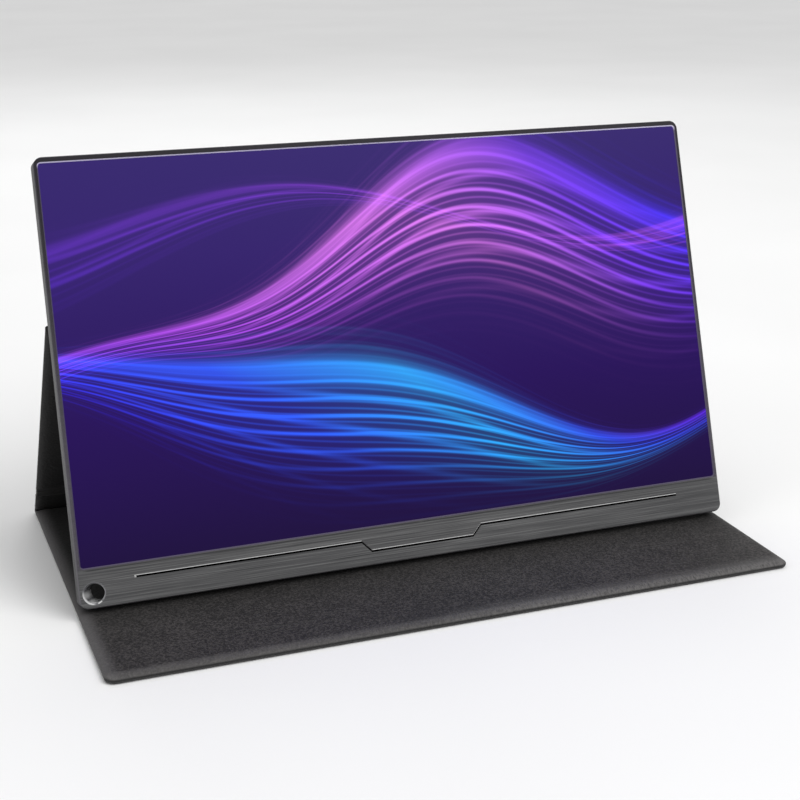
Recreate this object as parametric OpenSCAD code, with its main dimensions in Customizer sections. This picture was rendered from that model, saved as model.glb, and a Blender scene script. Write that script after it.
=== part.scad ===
// Portable monitor standing on its folded folio cover.
// The cover's front panel lies on the table, and its spine and prop panel rise behind the monitor
// to a crease on the monitor's back, so that the three form a triangle. The monitor's own pieces
// are drawn lying on their back, with z = 0 at the front face, and in_monitor() stands them up.

/* [Monitor] */
// Width of the monitor
monitor_w = 356; // [330:1:400]
// Height of the monitor, measured along its face
monitor_h = 220; // [206:1:250]
// Thickness of the monitor
monitor_t = 10.5; // [10.4:0.1:13]
// Lean of the screen back from upright, in degrees
lean = 18; // [14:0.5:24]
// Radius of the outline's corners
corner_r = 4.5; // [3:0.25:5]
// Radius along the edge of the back
back_r = 1; // [0.5:0.1:1.1]
// Wall of the rear shell at its sides
side_wall = 1.4; // [1.2:0.1:1.8]
// Thickness of the rear shell's back
back_wall = 1.2; // [1:0.1:1.3]

/* [Front frame] */
// Width of the side rims
rim_side = 2.2; // [2.2:0.1:4]
// Height of the top rim
rim_top = 3; // [2.2:0.1:5]
// Height of the chin
chin_h = 19.8; // [19.4:0.1:26]
// Thickness of the front frame
frame_t = 1.8; // [1.7:0.1:2.2]
// Thickness of the frame's lip in front of the glass
lip_t = 0.8; // [0.7:0.05:0.9]
// Chamfer round the window
window_chamfer = 0.6; // [0.3:0.05:0.65]
// Radius of the window's corners
window_r = 1.5; // [1:0.1:2.5]
// Chamfer round the outline of the front face
face_chamfer = 0.5; // [0.2:0.05:0.6]
// Height of the shadow gap between frame and shell
seam_h = 0.4; // [0.2:0.05:0.6]
// Depth of the shadow gap
seam_depth = 0.5; // [0.3:0.05:0.7]

/* [Chin groove] */
// Distance between the two ends of the groove
groove_span = 300; // [200:1:304]
// Width of the groove's lowered middle, at its bottom
groove_mid_span = 56.6; // [40:0.2:90]
// Sideways run of each slanting step
groove_step_run = 5; // [3:0.1:9]
// Height of the outer stretches above the bottom edge
groove_high = 12.5; // [11:0.1:15]
// Height of the middle stretch above the bottom edge
groove_low = 7.2; // [5:0.1:9]
// Width of the groove
groove_w = 0.9; // [0.5:0.05:1.5]
// Depth of the groove
groove_depth = 0.5; // [0.3:0.05:0.8]

/* [Pen hole] */
// Inner radius of the pen hole
pen_hole_r = 4.5; // [4:0.1:4.6]
// Wall of the metal sleeve
pen_sleeve_wall = 0.5; // [0.4:0.05:0.55]
// Slant of the hole toward the middle on its way to the back, in degrees
pen_slant = 26; // [0:1:28]
// Wall of the shell's boss round the sleeve
pen_boss_wall = 1.4; // [1.4:0.1:2]
// Radius of the sleeve's round flange in the face
pen_flange_r = 5.6; // [5.6:0.05:5.9]
// Thickness of the flange
pen_flange_t = 1; // [0.9:0.1:1.5]
// Radius of the countersink in the flange
pen_sink_r = 5.35; // [5.2:0.05:5.35]
// Distance of the hole's centre from the left and bottom edges
pen_inset = 7.3; // [7:0.1:8]

/* [Screen stack] */
// How far the glass reaches behind the frame's lip
glass_lap = 0.8; // [0.5:0.05:0.9]
// Thickness of the cover glass
glass_t = 0.8; // [0.6:0.05:0.9]
// Thickness of the liquid crystal cell
cell_t = 0.8; // [0.6:0.05:0.9]
// Thickness of the diffuser films
film_t = 0.4; // [0.2:0.05:0.5]
// Thickness of the light guide
guide_t = 1.2; // [0.8:0.05:1.3]
// Thickness of the reflector sheet
reflector_t = 0.2; // [0.1:0.05:0.25]
// Thickness of the sheet steel panel tray
tray_t = 0.5; // [0.3:0.05:0.55]

/* [Ports on the right side] */
// Height of the lower USB-C socket above the bottom edge
usb_lower_v = 46; // [43:0.5:48]
// Height of the upper USB-C socket
usb_upper_v = 62; // [59:0.5:66]
// Height of the mini HDMI socket
hdmi_v = 82; // [77:0.5:88]
// Height of the headphone jack
jack_v = 101; // [98:0.5:108]
// Bore radius of the headphone jack
jack_r = 1.8; // [1.75:0.05:1.85]

/* [Keys on the right side] */
// Height of the middle of the menu rocker
rocker_v = 160; // [155:0.5:162]
// Length of the menu rocker
rocker_len = 18; // [16:0.5:19]
// Height of the middle of the power button
power_v = 181; // [179:0.5:183]
// Length of the power button
power_len = 9; // [7:0.5:10]
// Width of both keys, across the side of the monitor
key_w = 3; // [2.6:0.1:3.2]
// How far the keys stand out of the side
key_proud = 0.4; // [0.2:0.05:0.6]
// Gap round the keys in their slots
key_gap = 0.25; // [0.15:0.05:0.3]
// Travel of the power button
key_travel = 0.5; // [0.3:0.05:0.55]
// Tilt of the rocker to either side, in degrees
rocker_tilt = 2.5; // [1.5:0.1:2.8]

/* [Cover] */
// How far the folio cover stands out on either side of the monitor
cover_overhang = 0.5; // [0:0.1:1.5]
// Thickness of each padded panel
cover_t = 3.6; // [3.4:0.1:5]
// Thickness of the outer leather
outer_skin_t = 0.8; // [0.6:0.05:1]
// Thickness of the stiffening boards
board_t = 1.6; // [1.2:0.1:1.8]
// Front panel, from the rear crease to its free edge
front_len = 218.5; // [205:0.5:245]
// Prop panel, from crease to crease
prop_len = 146; // [141:0.5:160]
// Spine, from crease to crease
spine_len = 20; // [18:0.5:26]
// Height on the monitor of the crease at its back
fold_v = 140; // [132:0.5:146]
// How far the attached panel stays inside the monitor's outline
attach_inset = 2; // [1:0.25:6]
// Corner radius of the panels
cover_corner_r = 5; // [3:0.5:8]
// Depth of each crease below the outer surface
crease_d = 1; // [0.8:0.05:1.2]
// Half thickness of the creased leather
fold_r = 0.8; // [0.5:0.05:0.9]
// Half width of the prop creases
fold_gap = 3; // [2.5:0.1:4]
// Width of the stitched border round each board
board_border = 1.2; // [1:0.1:2]

/* [Hidden] */
$fn = 48;

// Clearances
fit_gap = 0.02;       // turned pieces in their holes
slip_gap = 0.1;       // loose pieces in their pockets
rest_gap = 0.5;       // monitor's rear edge over the cover's front panel
crease_gap = 0.45;    // between the panels' inner edges at the rear crease
over = 1;             // how far a cut runs past the face that it opens

// Shape of the triangle, seen from the side
fold_depth = monitor_t + cover_t - crease_d;
monitor_z = cover_t + rest_gap + back_r * (1 - cos(lean)) + (monitor_t - back_r) * sin(lean);
fold_run = fold_v * sin(lean) + fold_depth * cos(lean);
fold_z = monitor_z + fold_v * cos(lean) - fold_depth * sin(lean);
prop_rise = fold_z - crease_d;
prop_total = prop_len + spine_len;
prop_run = sqrt(prop_total * prop_total - prop_rise * prop_rise);
prop_angle = atan2(prop_rise, prop_run);
rear_y = (front_len - fold_r) / 2;
fold_y = rear_y - prop_run;
monitor_y = fold_y - fold_run;
rear_gap = (cover_t - crease_d) / tan(prop_angle / 2) + crease_gap;

// Window and screen stack, measured back from the front face
window_w = monitor_w - 2 * rim_side;
window_top = monitor_h - rim_top;
glass_back = lip_t + glass_t;
cell_back = glass_back + cell_t;
film_back = cell_back + film_t;
guide_back = film_back + guide_t;
reflector_back = guide_back + reflector_t;
tray_back = reflector_back + tray_t;
tray_lip_t = 0.4;
tray_lip_front = frame_t + 0.05;
tray_side_gap = 1.4;
tray_top_gap = 1;
tray_w = monitor_w - 2 * (side_wall + tray_side_gap);
tray_low = chin_h - 3;
tray_top = monitor_h - side_wall - tray_top_gap;
led_h = 1.2;
stack_w = tray_w - 2 * tray_lip_t - 0.4;
stack_top = tray_top - tray_lip_t - 0.2;
guide_low = tray_low + tray_lip_t + led_h + 0.3;
cell_low = guide_low + 0.4;

// Inside of the rear shell
floor_z = back_wall - monitor_t;
side_x = monitor_w / 2;
wall_x = side_x - side_wall;
main_v1 = 36;
main_v2 = 122;
post_r = 2.5;
post_inset = 18;
post_xs = [post_inset - side_x, 0, side_x - post_inset];
post_vs = [main_v1 - 8, main_v2 + 8, monitor_h - 14];

// Circuit boards
pcb_t = 0.8;
pcb_lift = 0.3;
pcb_top = floor_z + pcb_lift + pcb_t;
main_w = 78.6;
main_x2 = wall_x - 2;
main_x1 = main_x2 - main_w;
main_screw_r = 0.7;
main_screws = [for (x = [main_x1 + 4, main_x2 - 16], v = [main_v1 + 4, main_v2 - 4]) [x, v]];
timing_w = 124;
timing_v1 = 4;
timing_v2 = 14.5;
timing_posts = [-48, 48];
ribbon_t = 0.2;
ribbon_w = 24;
ribbon_xs = [-40, 0, 40];
video_w = 10;
video_x = 30;
video_v = main_v1 + 10;
video_lap = 6;
chip_w = 16;
chip_x = main_x1 + 30;
chip_v = main_v1 + 40;
memory_w = 10;
memory_h = 8;
memory_x = chip_x + 20;
coil_w = 6;
coil_step = 9;
coil_x = main_x1 + 17;
coil_v = main_v1 + 69;
capacitor_r = 1.5;
capacitor_step = 6;
capacitor_x = main_x1 + 12;
capacitor_v = main_v1 + 18;
spreader_w = 26;

// Ports
usb_len = 8.94;
usb_h = 3.16;
usb_depth = 7.3;
usb_wall = 0.3;
port_z = pcb_top + usb_h / 2;
port_gap = 0.2;
port_recess = 0.3;
port_x = side_x - port_recess;
hdmi_len = 11.2;
hdmi_h = 3.2;
hdmi_depth = 7.5;
jack_body_w = 6;
jack_body_h = 4.2;
jack_depth = 12;
jack_z = floor_z + 0.25 + jack_body_h / 2;
jack_nose_r = jack_r + 0.45;

// Keys
key_z = port_z;
key_flange = 1;
key_flange_t = 1.1;
key_board_x = wall_x - 5;
key_board_v1 = rocker_v - 14;
key_board_v2 = power_v + 13;
switch_t = 1.5;
switch_w = 3;
plunger_r = 0.7;
power_flange_x = wall_x - 0.05 - key_flange_t;
rocker_play = (rocker_len / 2 + key_flange) * tan(rocker_tilt) + 0.05;
rocker_flange_x = wall_x - rocker_play - key_flange_t;
rocker_axis_x = rocker_flange_x + key_flange_t / 2;
rocker_hub_r = 1.1;
rocker_pin_r = 0.5;
rocker_switch_off = 6;
rocker_switch_gap = rocker_switch_off * tan(rocker_tilt) + 0.05;
light_v = power_v + 8;
light_r = 0.75;

// Speakers, screws and magnets
speaker_w = 52;
speaker_v1 = 3;
speaker_v2 = 15;
speaker_t = 5;
speaker_inset = 66;
speaker_x = side_x - speaker_inset;
lead_r = 0.5;
lead_v = tray_low + 1;
lead_turn_left = main_x1 + 6;
lead_turn_right = main_x1 + 24;
screw_insets = [28, 97];
screw_xs = [for (side = [-1, 1], inset = screw_insets) side * (side_x - inset)];
screw_v = 6;
screw_r = 0.9;
screw_head_r = 1.9;
screw_head_h = 1;
screw_boss_r = 2.2;
screw_end = 3;
magnet_w = 30;
magnet_h = 10;
magnet_t = 1.5;
magnet_xs = [-100, -40, 40, 100];
magnet_vs = [fold_v + 16, monitor_h - 26];

// Cover panels, in the frame of their crease
cover_w = monitor_w + 2 * cover_overhang;
skin_low = -crease_d;
board_low = skin_low + outer_skin_t;
board_high = board_low + board_t;
skin_high = cover_t - crease_d;
seam = (skin_low + skin_high) / 2 - 0.2;
outer_edge_r = 0.8;
inner_edge_r = 1.1;
strip_border = 0.6;
attach_w = monitor_w - 2 * attach_inset;
attach_end = monitor_h - attach_inset - fold_v;
steel_w = 36;
steel_h = 12;
rest_y = monitor_y + monitor_t * cos(lean) - rear_y;
rest_xs = [-90, 90];
closing_xs = [-110, 0, 110];
closing_y = 14 - front_len;
bar_w = 60;
bar_h = 6;

// ---- Placing ----

module in_monitor() translate([0, monitor_y, monitor_z]) rotate([90 - lean, 0, 0]) children();

module in_front_panel() translate([0, rear_y, crease_d]) children();

module in_prop() translate([0, rear_y, crease_d]) rotate([180 - prop_angle, 0, 0]) children();

module in_attach_panel() in_monitor() translate([0, fold_v, -fold_depth]) children();

// Extrudes a drawing along x, its own x becoming y and its own y becoming z
module along_x(x1, x2, y = 0, z = 0)
    translate([x1, y, z]) rotate([90, 0, 90]) linear_extrude(x2 - x1) children();

// Extrudes a drawing along y, its own y becoming z
module along_y(y1, y2) translate([0, y2, 0]) rotate([90, 0, 0]) linear_extrude(y2 - y1) children();

// ---- Shared shapes ----

module round_rect(w, y1, y2, r) {
    translate([-w / 2 + r, y1]) square([w - 2 * r, y2 - y1]);
    translate([-w / 2, y1 + r]) square([w, y2 - y1 - 2 * r]);
    for (x = [-w / 2 + r, w / 2 - r], y = [y1 + r, y2 - r])
        translate([x, y]) circle(r);
}

module slab(w, y1, y2, z1, z2, r)
    translate([0, 0, z1]) linear_extrude(z2 - z1) round_rect(w, y1, y2, r);

// A slab whose outline grows (or shrinks) by grow from z1 to z2
module sloped_slab(w, y1, y2, z1, z2, r, grow) {
    for (x = [-w / 2 + r, w / 2 - r], y = [y1 + r, y2 - r])
        translate([x, y, z1]) cylinder(h = z2 - z1, r1 = r, r2 = r + grow);
    along_x(-w / 2 + r, w / 2 - r)
        polygon([[y1, z1], [y2, z1], [y2 + grow, z2], [y1 - grow, z2]]);
    along_y(y1 + r, y2 - r)
        polygon([[-w / 2, z1], [w / 2, z1], [w / 2 + grow, z2], [-w / 2 - grow, z2]]);
}

module stadium(l, h) {
    square([l - h, h], center = true);
    for (x = [-1, 1] * (l - h) / 2) translate([x, 0]) circle(h / 2);
}

// Cross-section from a1 to a2 and z1 to z2, with rounded lower and upper corners
module edge_profile(a1, a2, z1, z2, r_low, r_high)
    difference() {
        translate([a1, z1]) square([a2 - a1, z2 - z1]);
        for (side = [0, 1], high = [0, 1]) {
            r = high == 1 ? r_high : r_low;
            if (r > 0)
                translate([side == 1 ? a2 - r : a1 + r, high == 1 ? z2 - r : z1 + r])
                    mirror([1 - side, 0]) mirror([0, 1 - high])
                        difference() {
                            square(r + over);
                            circle(r);
                        }
        }
    }

// A slab with rounded corners and rounded edges; the ends that meet a crease are cut square
module soft_slab(w, y1, y2, z1, z2, r, r_low, r_high, crease1 = false, crease2 = false) {
    run_out = r + over;
    e1 = crease1 ? y1 - run_out : y1;
    e2 = crease2 ? y2 + run_out : y2;
    intersection() {
        slab(w, e1, e2, z1, z2, r);
        along_y(e1, e2) edge_profile(-w / 2, w / 2, z1, z2, r_low, r_high);
        along_x(-w / 2, w / 2) edge_profile(e1, e2, z1, z2, r_low, r_high);
        translate([-w / 2, y1, z1]) cube([w, y2 - y1, z2 - z1]);
    }
}

module block(x1, x2, y1, y2, z1, z2) translate([x1, y1, z1]) cube([x2 - x1, y2 - y1, z2 - z1]);

module peg(x, y, z1, z2, r) translate([x, y, z1]) cylinder(h = z2 - z1, r = r);

// ---- Front frame ----

groove_points = [
    [-groove_span / 2, groove_high],
    [-groove_mid_span / 2 - groove_step_run, groove_high],
    [-groove_mid_span / 2, groove_low],
    [groove_mid_span / 2, groove_low],
    [groove_mid_span / 2 + groove_step_run, groove_high],
    [groove_span / 2, groove_high]
];

function unit(v) = v / norm(v);

function left_of(v) = [-v.y, v.x];

// The corners of a line through points, moved d to its left and mitred
function beside(points, d) = [
    for (i = [0 : len(points) - 1])
        let (
            last = len(points) - 1,
            before = unit(points[max(i, 1)] - points[max(i, 1) - 1]),
            after = unit(points[min(i, last - 1) + 1] - points[min(i, last - 1)]),
            mitre = left_of(before + after)
        )
        points[i] + mitre * d / (mitre * left_of(before))
];

function reversed(list) = [for (i = [len(list) - 1 : -1 : 0]) list[i]];

module groove_outline()
    polygon(concat(beside(groove_points, groove_w / 2), reversed(beside(groove_points, -groove_w / 2))));

module front_frame() color("#56575a") in_monitor()
    difference() {
        union() {
            slab(monitor_w, 0, monitor_h, seam_h - frame_t, -face_chamfer, corner_r);
            sloped_slab(monitor_w, 0, monitor_h, -face_chamfer, 0, corner_r, -face_chamfer);
            slab(monitor_w - 2 * seam_depth, seam_depth, monitor_h - seam_depth,
                 -frame_t, -face_chamfer / 2, corner_r - seam_depth);
            for (x = screw_xs) peg(x, screw_v, floor_z, -frame_t / 2, screw_boss_r);
        }
        slab(window_w, chin_h, window_top, -frame_t - over, over, window_r);
        sloped_slab(window_w, chin_h, window_top, -window_chamfer, 0, window_r, window_chamfer);
        slab(window_w + 2 * glass_lap, chin_h - glass_lap, window_top + glass_lap,
             -frame_t - over, -lip_t, window_r + glass_lap);
        translate([0, 0, -groove_depth]) linear_extrude(groove_depth + over) groove_outline();
        at_pen_hole() pen_plug(fit_gap);
        for (x = screw_xs) peg(x, screw_v, floor_z - over, -screw_end + 0.5, screw_r + fit_gap);
    }

// ---- Pen hole ----

// A round bar along the slanting hole
module pen_bar(r) rotate([0, -pen_slant, 0]) peg(0, 0, -2 * monitor_t, monitor_t, r);

// Outline of the sleeve with its flange, grown by gap
module pen_plug(gap) {
    peg(0, 0, -pen_flange_t - gap, over, pen_flange_r + gap);
    pen_bar(pen_hole_r + pen_sleeve_wall + gap);
}

module at_pen_hole() translate([pen_inset - side_x, pen_inset, 0]) children();

// Keeps what lies between two depths of the monitor
module between(z1, z2)
    intersection() {
        children();
        block(-monitor_t, 2 * monitor_t, -monitor_t, monitor_t, z1, z2);
    }

module pen_hole_sleeve() color("#c9cacd") in_monitor() at_pen_hole()
    difference() {
        between(-monitor_t, 0) pen_plug(0);
        pen_bar(pen_hole_r);
        translate([0, 0, -pen_sink_r]) cylinder(h = pen_sink_r + over, r1 = 0, r2 = pen_sink_r + over);
    }

// ---- Rear shell ----

module port_hole(v, z) along_x(wall_x - over, side_x + over, v, z) children();

// Slots of one loudspeaker grille in the back
module grille(x)
    for (i = [-4 : 4], row = [0 : 2])
        translate([x + i * 5, speaker_v1 + 3 + row * 3, -monitor_t - over])
            linear_extrude(back_wall + 2 * over) stadium(3.6, 1.1);

module rear_shell() color("#77797c") in_monitor()
    difference() {
        union() {
            difference() {
                soft_slab(monitor_w, 0, monitor_h, -monitor_t, -frame_t, corner_r, back_r, 0);
                slab(monitor_w - 2 * side_wall, side_wall, monitor_h - side_wall,
                     floor_z, over, corner_r - side_wall);
            }
            at_pen_hole() between(floor_z, -frame_t)
                pen_bar(pen_hole_r + pen_sleeve_wall + pen_boss_wall);
            for (x = post_xs, v = post_vs) peg(x, v, floor_z, -tray_back, post_r);
            for (p = main_screws) peg(p.x, p.y, floor_z, floor_z + pcb_lift, 2);
            for (x = timing_posts) peg(x, (timing_v1 + timing_v2) / 2, floor_z, floor_z + pcb_lift, 2);
            for (v = [key_board_v1 + 1, key_board_v2 - 3])
                block(key_board_x - 1.2, key_board_x, v, v + 2, floor_z, key_z + key_w / 2);
            peg(rocker_axis_x, rocker_v, floor_z, key_z - key_w / 2 - 0.4, 1.2);
        }
        at_pen_hole() pen_bar(pen_hole_r + pen_sleeve_wall + fit_gap);
        for (x = screw_xs) {
            peg(x, screw_v, -monitor_t - over, floor_z + over, screw_r + fit_gap);
            translate([x, screw_v, -monitor_t])
                cylinder(h = screw_head_h, r1 = screw_head_r + fit_gap, r2 = screw_r + fit_gap);
        }
        for (p = main_screws) peg(p.x, p.y, floor_z - 0.7, floor_z + over, main_screw_r + fit_gap);
        for (v = [usb_lower_v, usb_upper_v])
            port_hole(v, port_z) stadium(usb_len + 2 * port_gap, usb_h + 2 * port_gap);
        port_hole(hdmi_v, pcb_top + hdmi_h / 2) hdmi_outline(port_gap);
        port_hole(jack_v, jack_z) circle(jack_nose_r + port_gap);
        port_hole(rocker_v, key_z) stadium(rocker_len + 2 * key_gap, key_w + 2 * key_gap);
        port_hole(power_v, key_z) stadium(power_len + 2 * key_gap, key_w + 2 * key_gap);
        port_hole(light_v, key_z) circle(light_r + fit_gap);
        peg(rocker_axis_x, rocker_v, floor_z, key_z, rocker_pin_r + fit_gap);
        for (x = [-1, 1] * speaker_x) grille(x);
    }

// ---- Screen stack ----

module screen_glass() color("#2a1a5c") in_monitor()
    slab(window_w + 2 * (glass_lap - slip_gap), chin_h - glass_lap + slip_gap,
         window_top + glass_lap - slip_gap, -glass_back, -lip_t, window_r + glass_lap - slip_gap);

module stack_sheet(v1, front, back) block(-stack_w / 2, stack_w / 2, v1, stack_top, -back, -front);

module lcd_cell() color("#1c2436") in_monitor() stack_sheet(cell_low, glass_back, cell_back);

module diffuser_films() color("#eef0f2") in_monitor() stack_sheet(guide_low, cell_back, film_back);

module light_guide() color("#dfe9ef") in_monitor() stack_sheet(guide_low, film_back, guide_back);

module reflector_sheet() color("#f6f6f4") in_monitor()
    stack_sheet(guide_low, guide_back, reflector_back);

// A strip board with its row of lamps against the light guide's lower edge
module led_bar() color("#f2ead0") in_monitor() {
    led_low = guide_low - led_h - 0.1;
    block(-stack_w / 2, stack_w / 2, led_low, led_low + 0.4, -reflector_back, -film_back);
    for (i = [-16 : 16])
        block(i * 10 * stack_w / 350 - 1.5, i * 10 * stack_w / 350 + 1.5, led_low + 0.4,
              guide_low - 0.1, -guide_back, -film_back - 0.1);
}

module panel_tray() color("#a9adb0") in_monitor()
    difference() {
        block(-tray_w / 2, tray_w / 2, tray_low, tray_top, -tray_back, -tray_lip_front);
        block(-tray_w / 2 + tray_lip_t, tray_w / 2 - tray_lip_t, tray_low + tray_lip_t,
              tray_top - tray_lip_t, -reflector_back, over);
        // Low front lip, for the ribbons of the cell to pass
        block(-tray_w / 2 + tray_lip_t, tray_w / 2 - tray_lip_t, tray_low - over,
              tray_low + tray_lip_t + over, -cell_back - ribbon_t, over);
    }

// ---- Circuit boards ----

module timing_board() color("#1f6b3f") in_monitor()
    block(-timing_w / 2, timing_w / 2, timing_v1, timing_v2, pcb_top - pcb_t, pcb_top);

// Three flexible ribbons from the cell, over the tray's low lip and down to the timing board
module panel_ribbon() color("#b5651d") in_monitor()
    for (x = ribbon_xs) translate([x - ribbon_w / 2, 0, 0]) {
        turn_v = timing_v2 + 0.5;
        block(0, ribbon_w, turn_v, cell_low, 0.05 - cell_back, 0.05 + ribbon_t - cell_back);
        block(0, ribbon_w, turn_v, turn_v + ribbon_t, pcb_top, 0.05 + ribbon_t - cell_back);
        block(0, ribbon_w, turn_v - 2.5, turn_v + ribbon_t, pcb_top, pcb_top + ribbon_t);
    }

// Flat cable from the main board down to the timing board
module video_ribbon() color("#d8d2c4") in_monitor() {
    z = pcb_top + ribbon_t;
    block(video_x, main_x1 + video_lap, video_v, video_v + video_w, pcb_top, z);
    block(video_x, video_x + video_w, lead_v + 2, video_v + video_w, pcb_top, z);
    block(timing_w / 2 - video_w, timing_w / 2, timing_v2 - 4, lead_v + 2 + video_w, pcb_top, z);
    block(video_x, timing_w / 2, lead_v + 2, lead_v + 2 + video_w, pcb_top, z);
}

module main_board() color("#1f6b3f") in_monitor()
    difference() {
        block(main_x1, main_x2, main_v1, main_v2, pcb_top - pcb_t, pcb_top);
        block(port_x - jack_depth - slip_gap, main_x2 + over, jack_v - jack_body_w / 2 - slip_gap,
              jack_v + jack_body_w / 2 + slip_gap, pcb_top - pcb_t - over, pcb_top + over);
        for (p = main_screws) peg(p.x, p.y, floor_z, pcb_top + over, main_screw_r + 0.2);
    }

module chip(x, v, w, h, t) block(x - w / 2, x + w / 2, v - h / 2, v + h / 2, pcb_top, pcb_top + t);

// Display processor, its memory and the power supply's coils and capacitors
module main_chips() color("#26282b") in_monitor() {
    chip(chip_x, chip_v, chip_w, chip_w, 1.2);
    chip(memory_x, chip_v, memory_w, memory_h, 0.9);
    for (i = [0 : 3]) chip(coil_x + i * coil_step, coil_v, coil_w, coil_w, 2.2);
    for (i = [0 : 5]) peg(capacitor_x + i * capacitor_step, capacitor_v, pcb_top, pcb_top + 2, capacitor_r);
}

module heat_spreader() color("#c4c6c8") in_monitor()
    translate([0, 0, 1.2]) chip(chip_x, chip_v, spreader_w, spreader_w, 0.6);

module board_screws() color("#b9bbbd") in_monitor()
    for (p = main_screws) {
        peg(p.x, p.y, floor_z - 0.6, pcb_top, main_screw_r);
        peg(p.x, p.y, pcb_top, pcb_top + 0.6, 1.5);
    }

// ---- Ports ----

module usb_c(v) along_x(port_x - usb_depth, port_x, v, port_z)
    difference() {
        stadium(usb_len, usb_h);
        stadium(usb_len - 2 * usb_wall, usb_h - 2 * usb_wall);
    }

module usb_c_socket(v) {
    usb_c(v);
    along_x(port_x - usb_depth, port_x - usb_depth + 1, v, port_z) stadium(usb_len, usb_h);
    block(port_x - usb_depth, port_x - 1.6, v - 3.35, v + 3.35, port_z - 0.35, port_z + 0.35);
}

module usb_c_lower() color("#c2c4c6") in_monitor() usb_c_socket(usb_lower_v);

module usb_c_upper() color("#c2c4c6") in_monitor() usb_c_socket(usb_upper_v);

// Six-sided outline of the mini HDMI socket, grown by g
module hdmi_outline(g) {
    half = hdmi_len / 2 + g;
    top = hdmi_h / 2 + g;
    polygon([[-half, top], [half, top], [half, -0.2], [half - 1.3, -top], [1.3 - half, -top], [-half, -0.2]]);
}

module mini_hdmi_socket() color("#c2c4c6") in_monitor() {
    z = pcb_top + hdmi_h / 2;
    along_x(port_x - hdmi_depth, port_x, hdmi_v, z)
        difference() {
            hdmi_outline(0);
            hdmi_outline(-0.35);
        }
    along_x(port_x - hdmi_depth, port_x - hdmi_depth + 1, hdmi_v, z) hdmi_outline(0);
    block(port_x - hdmi_depth, port_x - 1.4, hdmi_v - 4, hdmi_v + 4, z - 0.1, z + 0.5);
}

module audio_jack() color("#202225") in_monitor()
    difference() {
        union() {
            block(port_x - jack_depth, wall_x - slip_gap, jack_v - jack_body_w / 2,
                  jack_v + jack_body_w / 2, jack_z - jack_body_h / 2, jack_z + jack_body_h / 2);
            along_x(wall_x - over, port_x, jack_v, jack_z) circle(jack_nose_r);
        }
        along_x(port_x - jack_depth + 1, port_x + over, jack_v, jack_z) circle(jack_r);
    }

// ---- Keys ----

module button_board() color("#1f6b3f") in_monitor()
    block(key_board_x, key_board_x + pcb_t, key_board_v1, key_board_v2,
          floor_z + pcb_lift, key_z + key_w / 2);

module button_ribbon() color("#d8d2c4") in_monitor() {
    x2 = key_board_x - 1.4;
    block(x2 - 6, x2, main_v2 - 8, key_board_v1 + 12, pcb_top, pcb_top + ribbon_t);
    block(x2 - 6, key_board_x, key_board_v1 + 6, key_board_v1 + 12, pcb_top, pcb_top + ribbon_t);
}

// A push switch whose plunger ends at tip_x
module key_switch(v, tip_x) {
    x = key_board_x + pcb_t;
    block(x, x + switch_t, v - switch_w / 2, v + switch_w / 2, key_z - 1.4, key_z + 1.4);
    along_x(x + switch_t, tip_x, v, key_z) circle(plunger_r);
}

module key_switches() color("#2c2e31") in_monitor() {
    key_switch(power_v, power_flange_x - key_travel - 0.05);
    for (v = [-1, 1] * rocker_switch_off)
        key_switch(rocker_v + v, rocker_flange_x - rocker_switch_gap);
}

module power_button() color("#8a8c90") in_monitor() {
    along_x(power_flange_x + key_flange_t, side_x + key_proud, power_v, key_z)
        stadium(power_len, key_w);
    along_x(power_flange_x, power_flange_x + key_flange_t, power_v, key_z)
        stadium(power_len + 2 * key_flange, key_w);
}

module menu_rocker() color("#8a8c90") in_monitor()
    difference() {
        union() {
            along_x(rocker_flange_x + key_flange_t, side_x + key_proud, rocker_v, key_z)
                stadium(rocker_len, key_w);
            along_x(rocker_flange_x, rocker_flange_x + key_flange_t, rocker_v, key_z)
                stadium(rocker_len + 2 * key_flange, key_w);
            peg(rocker_axis_x, rocker_v, key_z - key_w / 2, key_z + key_w / 2, rocker_hub_r);
        }
        peg(rocker_axis_x, rocker_v, key_z - key_w, key_z + key_w, rocker_pin_r + 0.04);
    }

module rocker_pin() color("#d0d2d4") in_monitor()
    peg(rocker_axis_x, rocker_v, floor_z, key_z + key_w / 2 + 0.3, rocker_pin_r);

module status_light() color("#e8f2ff") in_monitor()
    along_x(key_board_x + pcb_t, side_x, light_v, key_z) circle(light_r);

// ---- Speakers, leads, screws and magnets ----

module speaker(x) {
    block(x - speaker_w / 2, x + speaker_w / 2, speaker_v1, speaker_v2, floor_z, floor_z + speaker_t);
    along_y(speaker_v2, speaker_v2 + 1) translate([x, floor_z + 1]) stadium(8, 1.6);
}

module speaker_left() color("#222427") in_monitor() speaker(-speaker_x);

module speaker_right() color("#222427") in_monitor() speaker(speaker_x);

// One lead runs along the chin from each speaker and turns up to the main board
module speaker_lead(x, x_turn, v) {
    z = floor_z + lead_r;
    translate([x, speaker_v2 + 1, z]) rotate([-90, 0, 0]) cylinder(h = v - speaker_v2 - 1, r = lead_r);
    translate([x, v, z]) sphere(lead_r);
    translate([min(x, x_turn), v, z]) rotate([0, 90, 0]) cylinder(h = abs(x_turn - x), r = lead_r);
    translate([x_turn, v, z]) sphere(lead_r);
    translate([x_turn, v, z]) rotate([-90, 0, 0]) cylinder(h = main_v1 - v, r = lead_r);
}

module speaker_leads() color("#b03030") in_monitor() {
    speaker_lead(-speaker_x, lead_turn_left, lead_v);
    speaker_lead(speaker_x, lead_turn_right, lead_v + 2);
}

module case_screws() color("#9fa1a4") in_monitor()
    for (x = screw_xs) difference() {
        union() {
            peg(x, screw_v, -monitor_t, -screw_end, screw_r);
            translate([x, screw_v, -monitor_t])
                cylinder(h = screw_head_h, r1 = screw_head_r, r2 = screw_r);
        }
        for (turn = [0, 90])
            translate([x, screw_v, -monitor_t]) rotate(turn) cube([2, 0.5, 0.8], center = true);
    }

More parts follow.
